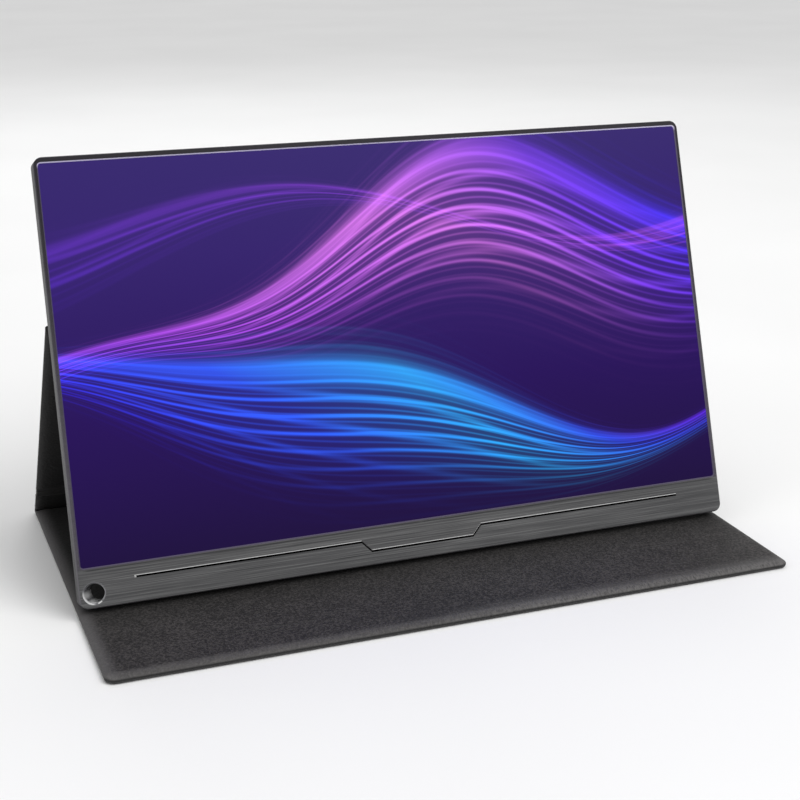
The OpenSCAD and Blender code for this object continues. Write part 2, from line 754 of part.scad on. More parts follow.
module dock_magnets() color("#8f9296") in_monitor()
    for (x = magnet_xs, v = magnet_vs)
        block(x - magnet_w / 2, x + magnet_w / 2, v - magnet_h / 2, v + magnet_h / 2,
              floor_z, floor_z + magnet_t);

// ---- Cover panels ----

module outer_skin(w, y1, y2, crease1, crease2)
    difference() {
        soft_slab(w, y1, y2, skin_low, seam, cover_corner_r, outer_edge_r, 0, crease1, crease2);
        board_block(w, y1, y2, 0, board_low, seam + over);
    }

module inner_skin(w, y1, y2, crease1, crease2)
    difference() {
        soft_slab(w, y1, y2, seam, skin_high, cover_corner_r, 0, inner_edge_r, crease1, crease2);
        board_block(w, y1, y2, 0, seam - over, board_high);
    }

// Room for a board, or the board itself with its gap; a narrow one has smaller corners
module board_block(w, y1, y2, gap, z1, z2) {
    inset = board_border + gap;
    slab(w - 2 * inset, y1 + inset, y2 - inset, z1, z2,
         min(cover_corner_r, (y2 - y1) / 2 - 0.1) - inset);
}

module board(w, y1, y2) board_block(w, y1, y2, slip_gap, board_low, board_high);

module plates(xs, y, w, h, gap = 0)
    for (x = xs)
        block(x - w / 2 - gap, x + w / 2 + gap, y - h / 2 - gap, y + h / 2 + gap, board_low, board_high);

module pockets(xs, y, w, h)
    for (x = xs)
        block(x - w / 2 - slip_gap, x + w / 2 + slip_gap, y - h / 2 - slip_gap, y + h / 2 + slip_gap,
              board_low - over, board_high + over);

// Panel held to the monitor's back by magnets
module attach_outer_skin() color("#2b292a") in_attach_panel()
    outer_skin(attach_w, fold_gap, attach_end, true, false);

module attach_inner_skin() color("#343233") in_attach_panel()
    inner_skin(attach_w, fold_gap, attach_end, true, false);

module attach_board() color("#8a7358") in_attach_panel()
    difference() {
        board(attach_w, fold_gap, attach_end);
        for (v = magnet_vs) pockets(magnet_xs, v - fold_v, steel_w, steel_h);
    }

module attach_magnets() color("#8f9296") in_attach_panel()
    for (v = magnet_vs) plates(magnet_xs, v - fold_v, steel_w, steel_h);

// Prop panel behind the monitor
module prop_outer_skin() color("#2b292a") in_prop()
    outer_skin(cover_w, spine_len + fold_gap, prop_total - fold_gap, true, true);

module prop_inner_skin() color("#343233") in_prop()
    inner_skin(cover_w, spine_len + fold_gap, prop_total - fold_gap, true, true);

module prop_board() color("#8a7358") in_prop()
    board(cover_w, spine_len + fold_gap, prop_total - fold_gap);

// Spine between the prop and the front panel; it wraps the monitor's edge when the cover is shut
module spine_outer_skin() color("#2b292a") in_prop()
    outer_skin(cover_w, rear_gap, spine_len - fold_gap, true, true);

module spine_inner_skin() color("#343233") in_prop()
    inner_skin(cover_w, rear_gap, spine_len - fold_gap, true, true);

module spine_board() color("#8a7358") in_prop() board(cover_w, rear_gap, spine_len - fold_gap);

// Front panel, which lies on the table and covers the screen when the cover is shut
module cover_outer_skin() color("#2b292a") in_front_panel()
    outer_skin(cover_w, -front_len, -rear_gap, false, true);

module cover_inner_skin() color("#343233") in_front_panel()
    inner_skin(cover_w, -front_len, -rear_gap, false, true);

module cover_board() color("#8a7358") in_front_panel()
    difference() {
        board(cover_w, -front_len, -rear_gap);
        pockets(rest_xs, rest_y, bar_w, bar_h);
        pockets(closing_xs, closing_y, bar_w, bar_h);
    }

// Bars under the monitor's rear edge, which hold it where it stands
module rest_magnets() color("#8f9296") in_front_panel() plates(rest_xs, rest_y, bar_w, bar_h);

// Bars by the free edge, which hold the cover shut
module closing_magnets() color("#8f9296") in_front_panel() plates(closing_xs, closing_y, bar_w, bar_h);

// ---- Creases of thin leather ----

// Two straight stretches that meet on the fold line at y, z
module crease(w, y, z, angle1, len1, angle2, len2)
    along_x(-w / 2 + strip_border, w / 2 - strip_border, y, z) {
        circle(fold_r);
        rotate(angle1) translate([0, -fold_r]) square([len1, 2 * fold_r]);
        rotate(angle2) translate([0, -fold_r]) square([len2, 2 * fold_r]);
    }

module back_crease() color("#252324")
    crease(attach_w, fold_y, fold_z, -prop_angle, fold_gap, 90 - lean, fold_gap);

module prop_crease() color("#252324")
    crease(cover_w, rear_y - spine_len * cos(prop_angle), crease_d + spine_len * sin(prop_angle),
           -prop_angle, fold_gap, 180 - prop_angle, fold_gap);

module rear_crease() color("#252324")
    crease(cover_w, rear_y, crease_d, 180, rear_gap, 180 - prop_angle, rear_gap);

front_frame();
rear_shell();
pen_hole_sleeve();
screen_glass();
lcd_cell();
diffuser_films();
light_guide();
reflector_sheet();
led_bar();
panel_tray();
timing_board();
panel_ribbon();
video_ribbon();
main_board();
main_chips();
heat_spreader();
board_screws();
usb_c_lower();
usb_c_upper();
mini_hdmi_socket();
audio_jack();
button_board();
button_ribbon();
key_switches();
power_button();
menu_rocker();
rocker_pin();
status_light();
speaker_left();
speaker_right();
speaker_leads();
case_screws();
dock_magnets();
attach_outer_skin();
attach_board();
attach_magnets();
attach_inner_skin();
prop_outer_skin();
prop_board();
prop_inner_skin();
spine_outer_skin();
spine_board();
spine_inner_skin();
cover_outer_skin();
cover_board();
rest_magnets();
closing_magnets();
cover_inner_skin();
back_crease();
prop_crease();
rear_crease();
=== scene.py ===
"""Looks of the portable monitor on its folio cover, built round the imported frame.

The monitor's CAD pieces keep their shapes and get their materials here. The cover's padded panels and
its creases are meshes made here, in the place of the CAD solids that they stand for.
"""

import collections
import math

import bmesh
import bpy
import numpy as np
from mathutils import Matrix, Vector


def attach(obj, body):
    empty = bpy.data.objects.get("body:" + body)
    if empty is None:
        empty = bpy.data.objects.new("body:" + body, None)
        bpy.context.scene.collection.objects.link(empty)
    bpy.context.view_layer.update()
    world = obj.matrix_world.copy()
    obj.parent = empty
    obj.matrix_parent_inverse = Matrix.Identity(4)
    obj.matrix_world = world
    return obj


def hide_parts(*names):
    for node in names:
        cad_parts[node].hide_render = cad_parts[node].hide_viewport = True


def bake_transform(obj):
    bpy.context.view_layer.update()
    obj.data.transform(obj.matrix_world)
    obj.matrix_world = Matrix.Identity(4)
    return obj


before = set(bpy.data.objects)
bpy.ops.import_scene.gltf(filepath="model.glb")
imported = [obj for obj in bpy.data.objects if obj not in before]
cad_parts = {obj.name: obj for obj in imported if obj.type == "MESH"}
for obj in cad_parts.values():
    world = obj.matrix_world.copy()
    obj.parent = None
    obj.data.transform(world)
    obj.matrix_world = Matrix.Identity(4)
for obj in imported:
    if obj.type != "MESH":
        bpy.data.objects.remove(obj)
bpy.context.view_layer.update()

# ---- Sizes of the model, in metres, as part.scad has them ----

LEAN = math.radians(18)
MONITOR_W = 0.356
MONITOR_H = 0.220
MONITOR_T = 0.0105
BACK_R = 0.001               # round along the edge of the back
RIM_SIDE = 0.0022
RIM_TOP = 0.003
CHIN_H = 0.0198

GROOVE_SPAN = 0.300
GROOVE_MID = 0.0566          # width of the lowered middle
GROOVE_RUN = 0.005           # sideways run of each slanting step
GROOVE_HIGH = 0.0125         # height of the outer stretches above the bottom edge
GROOVE_LOW = 0.0072          # and of the middle

PEN_INSET = 0.0073
PEN_R = 0.0045
PEN_SLANT = math.radians(26)

COVER_W = 0.357
COVER_T = 0.0036
REST_GAP = 0.0005            # between the monitor's rear edge and the front panel
FRONT_LEN = 0.2185
PROP_LEN = 0.146
SPINE_LEN = 0.020
FOLD_V = 0.140               # height on the monitor of the crease at its back
ATTACH_INSET = 0.002         # of the attached panel inside the monitor's outline
CORNER_R = 0.005
OUTER_SKIN_T = 0.0008
BOARD_T = 0.0016
CREASE_D = 0.001             # depth of a crease line below the outer surface
FOLD_R = 0.0008              # half thickness of the creased leather
FOLD_GAP = 0.003             # half width of the prop's creases
CREASE_GAP = 0.00045         # between the linings' inner edges at the rear crease

# Shape of the triangle, seen from the side
FOLD_DEPTH = MONITOR_T + COVER_T - CREASE_D
MONITOR_Z = COVER_T + REST_GAP + BACK_R * (1 - math.cos(LEAN)) + (MONITOR_T - BACK_R) * math.sin(LEAN)
FOLD_RUN = FOLD_V * math.sin(LEAN) + FOLD_DEPTH * math.cos(LEAN)
FOLD_Z = MONITOR_Z + FOLD_V * math.cos(LEAN) - FOLD_DEPTH * math.sin(LEAN)
PROP_TOTAL = PROP_LEN + SPINE_LEN
PROP_ANGLE = math.asin((FOLD_Z - CREASE_D) / PROP_TOTAL)
REAR_Y = (FRONT_LEN - FOLD_R) / 2
FOLD_Y = REAR_Y - PROP_TOTAL * math.cos(PROP_ANGLE)
MONITOR_Y = FOLD_Y - FOLD_RUN
REAR_GAP = (COVER_T - CREASE_D) / math.tan(PROP_ANGLE / 2) + CREASE_GAP

# Frames of the monitor and of each panel: x across, y along the face, z out of the screen or the lining
IN_MONITOR = Matrix.Translation((0, MONITOR_Y, MONITOR_Z)) @ Matrix.Rotation(math.pi / 2 - LEAN, 4, "X")
IN_FRONT = Matrix.Translation((0, REAR_Y, CREASE_D))
IN_PROP = IN_FRONT @ Matrix.Rotation(math.pi - PROP_ANGLE, 4, "X")
IN_ATTACH = IN_MONITOR @ Matrix.Translation((0, FOLD_V, -FOLD_DEPTH))


# ---- Camera, fitted to the monitor's edges in the photograph ----

PHOTO_PX = 800.0
FOCAL_PX = 1584.8
AXIS_PX = (412.75, 332.16)
SENSOR_MM = 36.0
AZIMUTH = math.radians(21.08)
ELEVATION = math.radians(15.62)
DISTANCE = 0.7886
TARGET = Vector((-0.00684, MONITOR_Y, 0.12907))


def make_camera():
    back = Vector((
        -math.sin(AZIMUTH) * math.cos(ELEVATION),
        -math.cos(AZIMUTH) * math.cos(ELEVATION),
        math.sin(ELEVATION),
    ))
    data = bpy.data.cameras.new("camera")
    data.sensor_width = SENSOR_MM
    data.lens = FOCAL_PX * SENSOR_MM / PHOTO_PX
    data.shift_x = (PHOTO_PX / 2 - AXIS_PX[0]) / PHOTO_PX
    data.shift_y = (AXIS_PX[1] - PHOTO_PX / 2) / PHOTO_PX
    data.clip_start = 0.01
    data.clip_end = 50.0
    camera = bpy.data.objects.new("camera", data)
    camera.location = TARGET + back * DISTANCE
    camera.rotation_euler = (-back).to_track_quat("-Z", "Y").to_euler()
    bpy.context.scene.collection.objects.link(camera)
    bpy.context.scene.camera = camera


make_camera()


# ---- Material kit ----

WHITE = (1, 1, 1, 1)
BLACK = (0, 0, 0, 1)
MIX_FIRST, MIX_SECOND, MIX_RESULT = 6, 7, 2      # the colour sockets of a Mix node


def srgb(code):
    """A linear colour from a #rrggbb code."""
    parts = [int(code[i:i + 2], 16) / 255 for i in (1, 3, 5)]
    return [c / 12.92 if c <= 0.04045 else ((c + 0.055) / 1.055) ** 2.4 for c in parts] + [1.0]


class Value:
    """A socket or a number that can be written into a formula."""

    def __init__(self, nodes, source):
        self.nodes = nodes
        self.source = source

    def _math(self, operation, *others):
        node = self.nodes.tree.nodes.new("ShaderNodeMath")
        node.operation = operation
        for i, value in enumerate((self, *others)):
            self.nodes.put(node.inputs[i], value)
        return Value(self.nodes, node.outputs[0])

    def __add__(self, other):
        return self._math("ADD", other)

    def __radd__(self, other):
        return self._math("ADD", other)

    def __sub__(self, other):
        return self._math("SUBTRACT", other)

    def __rsub__(self, other):
        return Value(self.nodes, other)._math("SUBTRACT", self)

    def __mul__(self, other):
        return self._math("MULTIPLY", other)

    def __truediv__(self, other):
        return self._math("DIVIDE", other)

    def __pow__(self, other):
        return self._math("POWER", other)

    def sin(self):
        return self._math("SINE")

    def exp(self):
        return self._math("EXPONENT")

    def abs(self):
        return self._math("ABSOLUTE")

    def clamp(self):
        """Held between 0 and 1."""
        node = self.nodes.tree.nodes.new("ShaderNodeClamp")
        self.nodes.put(node.inputs["Value"], self)
        return Value(self.nodes, node.outputs[0])

    def above(self, low, high):
        """0 below low and 1 above high, with a smooth step between."""
        node = self.nodes.tree.nodes.new("ShaderNodeMapRange")
        node.interpolation_type = "SMOOTHSTEP"
        self.nodes.put(node.inputs["Value"], self)
        node.inputs["From Min"].default_value = low
        node.inputs["From Max"].default_value = high
        return Value(self.nodes, node.outputs[0])

    def below(self, low, high):
        """1 below low and 0 above high, with a smooth step between."""
        return 1.0 - self.above(low, high)

    def inside(self, low, high, soft=0.0002):
        """1 from low to high, with soft ends."""
        return self.above(low - soft, low + soft) * self.below(high - soft, high + soft)

    def hump(self, middle, width):
        """1 at middle, falling to 0 over about twice the width on each side."""
        away = (self - middle) / width
        return (away * away * -1.0).exp()


class Material:
    """A node material with a Principled shader."""

    def __init__(self, name, roughness=0.5, metallic=0.0, **fixed):
        self.material = bpy.data.materials.new(name)
        self.material.use_nodes = True
        self.tree = self.material.node_tree
        self.shader = self.tree.nodes["Principled BSDF"]
        self.fix(Roughness=roughness, Metallic=metallic, **fixed)

    def fix(self, **inputs):
        """Sets numbers or colours that are the same all over the surface."""
        for key, value in inputs.items():
            self.shader.inputs[key.replace("_", " ")].default_value = value

    def set(self, **inputs):
        """Leads formulas into the shader, and gives the finished material."""
        for key, value in inputs.items():
            self.put(self.shader.inputs[key.replace("_", " ")], value)
        return self.material

    def put(self, socket, value):
        """Links a formula or a socket to a socket, or writes a number or colour into it."""
        if isinstance(value, Value):
            value = value.source
        if isinstance(value, bpy.types.NodeSocket):
            self.tree.links.new(value, socket)
        else:
            socket.default_value = value

    def place(self, matrix=None, scale=None):
        """Coordinates of the object, moved into the frame of matrix and scaled."""
        source = self.tree.nodes.new("ShaderNodeTexCoord").outputs["Object"]
        if matrix is not None:
            inverse = matrix.inverted()
            node = self.tree.nodes.new("ShaderNodeMapping")
            node.inputs["Location"].default_value = inverse.translation
            node.inputs["Rotation"].default_value = inverse.to_euler()
            self.put(node.inputs["Vector"], source)
            source = node.outputs[0]
        if scale is not None:
            node = self.tree.nodes.new("ShaderNodeVectorMath")
            node.operation = "MULTIPLY"
            self.put(node.inputs[0], source)
            node.inputs[1].default_value = scale
            source = node.outputs[0]
        return source

    def split(self, vector):
        """The x, y and z of a vector."""
        node = self.tree.nodes.new("ShaderNodeSeparateXYZ")
        self.put(node.inputs[0], vector)
        return [Value(self, socket) for socket in node.outputs]

    def noise(self, vector, scale, detail=2.0, rough=0.5, distortion=0.0):
        node = self.tree.nodes.new("ShaderNodeTexNoise")
        self.put(node.inputs["Vector"], vector)
        node.inputs["Scale"].default_value = scale
        node.inputs["Detail"].default_value = detail
        node.inputs["Roughness"].default_value = rough
        node.inputs["Distortion"].default_value = distortion
        return Value(self, node.outputs["Fac"])

    def cells(self, vector, scale, feature):
        """Voronoi cells: the distance that feature names."""
        node = self.tree.nodes.new("ShaderNodeTexVoronoi")
        node.feature = feature
        self.put(node.inputs["Vector"], vector)
        node.inputs["Scale"].default_value = scale
        return Value(self, node.outputs["Distance"])

    def ramp(self, factor, *stops):
        """Colours at positions, blended between."""
        node = self.tree.nodes.new("ShaderNodeValToRGB")
        self.put(node.inputs[0], factor)
        elements = node.color_ramp.elements
        while len(elements) < len(stops):
            elements.new(0.5)
        for element, (position, colour) in zip(elements, stops):
            element.position = position
            element.color = colour
        return node.outputs[0]

    def mix(self, factor, first, second, kind="MIX"):
        node = self.tree.nodes.new("ShaderNodeMix")
        node.data_type = "RGBA"
        node.blend_type = kind
        self.put(node.inputs[0], factor)
        self.put(node.inputs[MIX_FIRST], first)
        self.put(node.inputs[MIX_SECOND], second)
        return node.outputs[MIX_RESULT]

    def bump(self, height, distance, strength=1.0, normal=None):
        node = self.tree.nodes.new("ShaderNodeBump")
        self.put(node.inputs["Height"], height)
        node.inputs["Distance"].default_value = distance
        node.inputs["Strength"].default_value = strength
        if normal is not None:
            self.put(node.inputs["Normal"], normal)
        return node.outputs[0]


# ---- Materials of the monitor ----

def plain(name, dark, light, roughness, metallic=0.0):
    """A moulded, cast or pressed surface with fine grain and a slight change of tone."""
    grain = 900.0
    spread = 0.08
    depth = 0.00003
    m = Material(name, roughness, metallic)
    at = m.place()
    tone = m.noise(at, 60.0, 4.0) * 0.6 + m.noise(at, grain, 2.0) * 0.4
    return m.set(
        Base_Color=m.ramp(tone, (0.3, srgb(dark)), (0.7, srgb(light))),
        Roughness=(m.noise(at, grain * 0.4, 3.0) - 0.5) * spread + roughness,
        Normal=m.bump(m.noise(at, grain, 3.0, 0.6), depth, 0.6),
    )


def brush_lines(m):
    """Tone of a brushed face: lines along the monitor's width, of three finenesses."""
    lines = m.noise(m.place(IN_MONITOR, (9.0, 1500.0, 300.0)), 1.0, 3.0, 0.75)
    broad = m.noise(m.place(IN_MONITOR, (4.0, 260.0, 60.0)), 1.0, 2.0, 0.5)
    fine = m.noise(m.place(IN_MONITOR, (40.0, 5200.0, 900.0)), 1.0, 1.0, 0.6)
    return lines * 0.62 + broad * 0.12 + fine * 0.26


def frame_faces(m, x, v, tone):
    """Colour of the frame's faces: grey chin, rims painted darker upwards as painted shade, a dark line under
    the window.
    """
    rim_shade_fade = (0.02, 0.215)
    chin_fade = (CHIN_H - 0.0012, CHIN_H - 0.0002)
    line_v = CHIN_H - 0.0014
    line_half = MONITOR_W / 2 - 0.004
    chin = m.ramp(tone, (0.30, srgb("#29292b")), (0.5, srgb("#515152")), (0.70, srgb("#7c7c7c")))
    rim_low = m.ramp(tone, (0.3, srgb("#3e3c41")), (0.7, srgb("#56535a")))
    rim_shaded = m.ramp(tone, (0.3, srgb("#131115")), (0.7, srgb("#1e1b21")))
    # painted shade: the rims are painted darker towards the top
    rim = m.mix(v.above(*rim_shade_fade), rim_low, rim_shaded)
    colour = m.mix(v.above(*chin_fade), chin, rim)
    line = v.hump(line_v, 0.0004) * x.abs().inside(0.0, line_half, 0.002)
    return m.mix(line * 0.75, colour, srgb("#1d1d1f"))


def frame_edge_highlights(m, x, v, w, colour):
    """Cut edges of the window and of the outline, where the surface falls behind the front face, painted
    bright: a painted highlight and reflection on the window's edge, lilac and brightest at its top, and a
    painted highlight on the outline's edge that darkens upwards.
    """
    cut_depth = (0.00003, 0.00012)
    reach = 0.0008
    outline = 0.0007
    window_half = MONITOR_W / 2 - RIM_SIDE
    window_top = MONITOR_H - RIM_TOP
    top_highlight_band = (MONITOR_H - 0.006, window_top)
    side_highlight_fade = (0.02, 0.19)
    cut = (w * -1.0).above(*cut_depth)
    in_window = x.abs().inside(0.0, window_half + reach) * v.inside(CHIN_H - reach, window_top + reach)
    # painted highlight and reflection on the window's cut edge, lilac and brightest at the top edge
    window_edge_highlight = m.mix(v.above(*top_highlight_band), srgb("#625b70"), srgb("#d8d2ea"))
    colour = m.mix(cut * in_window, colour, window_edge_highlight)
    in_outline = x.abs().inside(0.0, MONITOR_W / 2 - outline) * v.inside(outline, MONITOR_H - outline)
    # painted highlight on the outline's cut edge, lighter low down and darker upwards
    outer_edge_highlight = m.mix(v.above(*side_highlight_fade), srgb("#67656a"), srgb("#454348"))
    return m.mix(cut * (1.0 - in_outline), colour, outer_edge_highlight)


def groove_painted_light(x, v):
    """Masks of painted light on the engraved groove in the chin: a painted highlight on its lit edge, painted
    shade on its dark floor and a painted highlight at its bright left end.

    The bands are distances below the groove's middle line, and the softness of their ends.
    """
    lit_highlight_band = (-0.00076, -0.00034, 0.00006)
    floor_shade_band = (-0.00034, 0.00056, 0.00004)
    end_highlight_band = (-0.0005, 0.0005, 0.0001)
    end_w = 0.001
    half = GROOVE_SPAN / 2 + 0.0006
    step_end = GROOVE_MID / 2 + GROOVE_RUN
    slope = ((step_end - x.abs()) / GROOVE_RUN).clamp()
    below_middle = v * -1.0 + GROOVE_HIGH - slope * (GROOVE_HIGH - GROOVE_LOW)
    on_line = v.inside(0.004, CHIN_H - 0.003, 0.0002) * x.abs().inside(0.0, half, 0.0001)
    left_step = x.inside(-step_end, -GROOVE_MID / 2, 0.0003)
    lit = below_middle.inside(*lit_highlight_band) * on_line * (1.0 - left_step)
    dark = below_middle.inside(*floor_shade_band) * on_line
    end = (x * -1.0).inside(half - end_w, half, 0.0001) * below_middle.inside(*end_highlight_band)
    return lit, dark, end


def brushed_frame():
    """Front frame: fine brush lines along it, cut edges round the window and in the engraved line painted
    bright as painted highlights, painted shade on the groove's floor and on the upper rims.
    """
    metal = 0.6
    m = Material("frame_brushed", 0.42, metal, Specular_IOR_Level=0.4)
    x, v, w = m.split(m.place(IN_MONITOR))
    tone = brush_lines(m)
    colour = frame_edge_highlights(m, x, v, w, frame_faces(m, x, v, tone))
    lit, dark, end = groove_painted_light(x, v)
    # painted highlight on the groove's lit edge, painted shade on its floor (black and fully metallic, so it
    # reflects nothing) and a painted highlight at its left end
    colour = m.mix(lit, colour, srgb("#bdbdbd"))
    colour = m.mix(dark, colour, srgb("#010101"))
    colour = m.mix(end, colour, srgb("#b0b0b0"))
    return m.set(
        Base_Color=colour,
        Metallic=metal + dark * (1 - metal),
        Roughness=0.36 + tone * 0.16,
        Normal=m.bump(tone, 0.00004, 0.5),
    )


def satin_shell():
    """Rear shell: fine blasted and anodised metal, with side walls painted darker upwards as painted shade.
    """
    side = MONITOR_W / 2
    m = Material("shell_satin", 0.42, 0.75)
    at = m.place()
    tone = m.noise(at, 25.0, 5.0) * 0.5 + m.noise(at, 2600.0, 2.0) * 0.5
    colour = m.ramp(tone, (0.35, srgb("#333235")), (0.65, srgb("#403f43")))
    x, v, _ = m.split(m.place(IN_MONITOR))
    # painted shade: the side walls are painted darker towards the top
    shaded_wall = x.abs().above(side - 0.002, side - 0.0008)
    return m.set(
        Base_Color=m.mix(shaded_wall * v.above(0.01, 0.17) * 0.6, colour, srgb("#19181b")),
        Roughness=0.40 + m.noise(at, 1500.0, 2.0) * 0.12,
        Normal=m.bump(m.noise(at, 3800.0, 3.0, 0.7), 0.00004, 0.5),
    )


def turned_sleeve():
    """Pen hole sleeve: turned rings, smoked finish, with a painted reflection on the bore and a painted
    highlight on the rim, both bright on the side towards the corner, and a painted glint on the rim.
    """
    to_painted_highlight = (-0.79, -0.61)
    to_painted_glint = (0.45, -0.89)
    m = Material("sleeve_polished", 0.2, 0.6)
    at = m.place(IN_MONITOR)
    rings = m.noise(m.place(IN_MONITOR, (40.0, 40.0, 5200.0)), 1.0, 2.0)
    x, v, w = m.split(at)
    u = x + (MONITOR_W / 2 - PEN_INSET) + w * math.tan(PEN_SLANT)
    t = v - PEN_INSET
    radius = (u * u + t * t) ** 0.5
    corner = (u * to_painted_highlight[0] + t * to_painted_highlight[1]) / radius
    painted_glint = ((u * to_painted_glint[0] + t * to_painted_glint[1]) / radius).above(0.97, 0.985)
    mouth = radius.above(PEN_R + 0.0001, PEN_R + 0.0003)
    outer = radius.above(PEN_R + 0.0003, PEN_R + 0.0005)
    # painted reflection: the bore is painted lighter on the side towards the corner
    bore = m.mix(corner.above(0.0, 1.0), srgb("#5c5c5e"), WHITE)
    # painted highlight: a bright crescent on the rim towards the corner, with a painted glint
    rim = m.mix((corner.above(0.5, 0.85) + painted_glint) * outer, srgb("#8c8c8f"), WHITE)
    turned = m.ramp(rings, (0.3, srgb("#8e8e90")), (0.7, srgb("#e6e6e6")))
    return m.set(
        Base_Color=m.mix(0.35, m.mix(mouth, bore, rim), turned, "MULTIPLY"),
        Roughness=0.2 + m.noise(at, 700.0, 3.0) * 0.1,
        Normal=m.bump(rings, 0.00002, 0.35),
    )


def ribbon(m, u, v, drift, base, swings, width, breath, strands, twist, power, colours):
    """Light and hue of one ribbon on the screen, over u from -1 to 1 and v from 0 to 1.

    It has a wavy middle line (a base height and swings of size, rate and shift), a width that breathes
    and strands that cross.
    """
    middle = v - base
    for size, rate, shift in swings:
        middle = middle - (u * rate + shift).sin() * size
    span = ((u * breath[0] + breath[1]).sin() * 0.45 + 0.62) * width
    s = middle / span
    body = (s * s * -1.7).exp()
    turn = u * twist + s * (u * 1.3 + 0.6).sin() * 2.2 + drift * 2.0
    lines = ((s * strands + turn).sin() * 0.5 + 0.5) ** 9.0
    cross = ((s * strands * 0.62 - turn * 1.4).sin() * 0.5 + 0.5) ** 10.0
    fine = ((s * strands * 2.7 + turn * 0.5).sin() * 0.5 + 0.5) ** 4.0
    crest = ((s - 0.75) * (s - 0.75) * -22.0).exp()
    light = body * (lines * 0.85 + cross * 0.4 + fine * 0.26 + 0.1) + crest * 0.6
    stops = [(position, srgb(code)) for position, code in colours]
    return light * power, m.ramp((u * 0.42 + 0.5 + s * 0.12).clamp(), *stops)


RIBBONS = [
    dict(base=0.60, swings=((0.17, 2.1, 0.9), (0.05, 5.3, 0.2)), width=0.19, breath=(2.2, 0.4),
         strands=23.0, twist=5.0, power=1.05,
         colours=((0.0, "#4a2be0"), (0.3, "#b04be0"), (0.55, "#e07ae8"), (0.8, "#7a3ae6"),
                  (1.0, "#3a2af0"))),
    dict(base=0.30, swings=((0.16, 1.9, 3.6), (0.04, 4.6, 1.1)), width=0.15, breath=(2.7, 2.0),
         strands=21.0, twist=-4.0, power=1.1,
         colours=((0.0, "#2a2bf0"), (0.35, "#2060ff"), (0.6, "#20b0ff"), (0.85, "#2a50f0"),
                  (1.0, "#5a2ae0"))),
    dict(base=0.78, swings=((0.10, 3.0, 2.4),), width=0.08, breath=(1.9, 4.2),
         strands=9.0, twist=3.0, power=0.45,
         colours=((0.0, "#5a2ad0"), (0.5, "#8a3ad8"), (1.0, "#c05ae0"))),
]


def screen_picture():
    """Lit screen: soft ribbons of fine strands over a deep violet ground."""
    m = Material("screen_lit", 0.22, 0.0, Specular_IOR_Level=0.02, Emission_Strength=1.0,
                 Base_Color=(0.004, 0.003, 0.010, 1))
    x, y, _ = m.split(m.place(IN_MONITOR))
    u = x / (MONITOR_W / 2 - RIM_SIDE)
    v = (y - CHIN_H) / (MONITOR_H - RIM_TOP - CHIN_H)
    drift = m.noise(m.place(IN_MONITOR), 9.0, 2.0, 0.5)
    ground = ((0.0, "#1c0d3a"), (0.35, "#260f56"), (0.75, "#33206a"), (1.0, "#35266c"))
    colour = m.ramp(v, *[(position, srgb(code)) for position, code in ground])
    for shape in RIBBONS:
        light, hue = ribbon(m, u, v, drift, **shape)
        lit = m.mix(1.0, hue, m.ramp(light.clamp(), (0.0, BLACK), (1.0, WHITE)), "MULTIPLY")
        colour = m.mix(1.0, colour, lit, "ADD")
    dust = m.noise(m.place(IN_MONITOR), 900.0, 2.0)
    return m.set(Emission_Color=colour, Roughness=0.16 + dust * 0.1)


def board(name, dark, light):
    """Circuit board: solder mask over fine tracks."""
    m = Material(name, 0.35)
    at = m.place(IN_MONITOR)
    tracks = m.cells(at, 420.0, "DISTANCE_TO_EDGE").above(0.02, 0.06)
    return m.set(
        Base_Color=m.mix(tracks, srgb(light), srgb(dark)),
        Roughness=0.3 + m.noise(at, 300.0) * 0.2,
        Normal=m.bump(tracks, 0.00004, 0.5),
    )


def fibre(name, dark, light):
    """Pressed fibre board."""
    m = Material(name, 0.8)
    at = m.place()
    tone = m.noise(at, 350.0, 6.0, 0.7)
    return m.set(
        Base_Color=m.ramp(tone, (0.35, srgb(dark)), (0.65, srgb(light))),
        Roughness=0.7 + tone * 0.2,
        Normal=m.bump(tone, 0.0001, 0.6),
    )


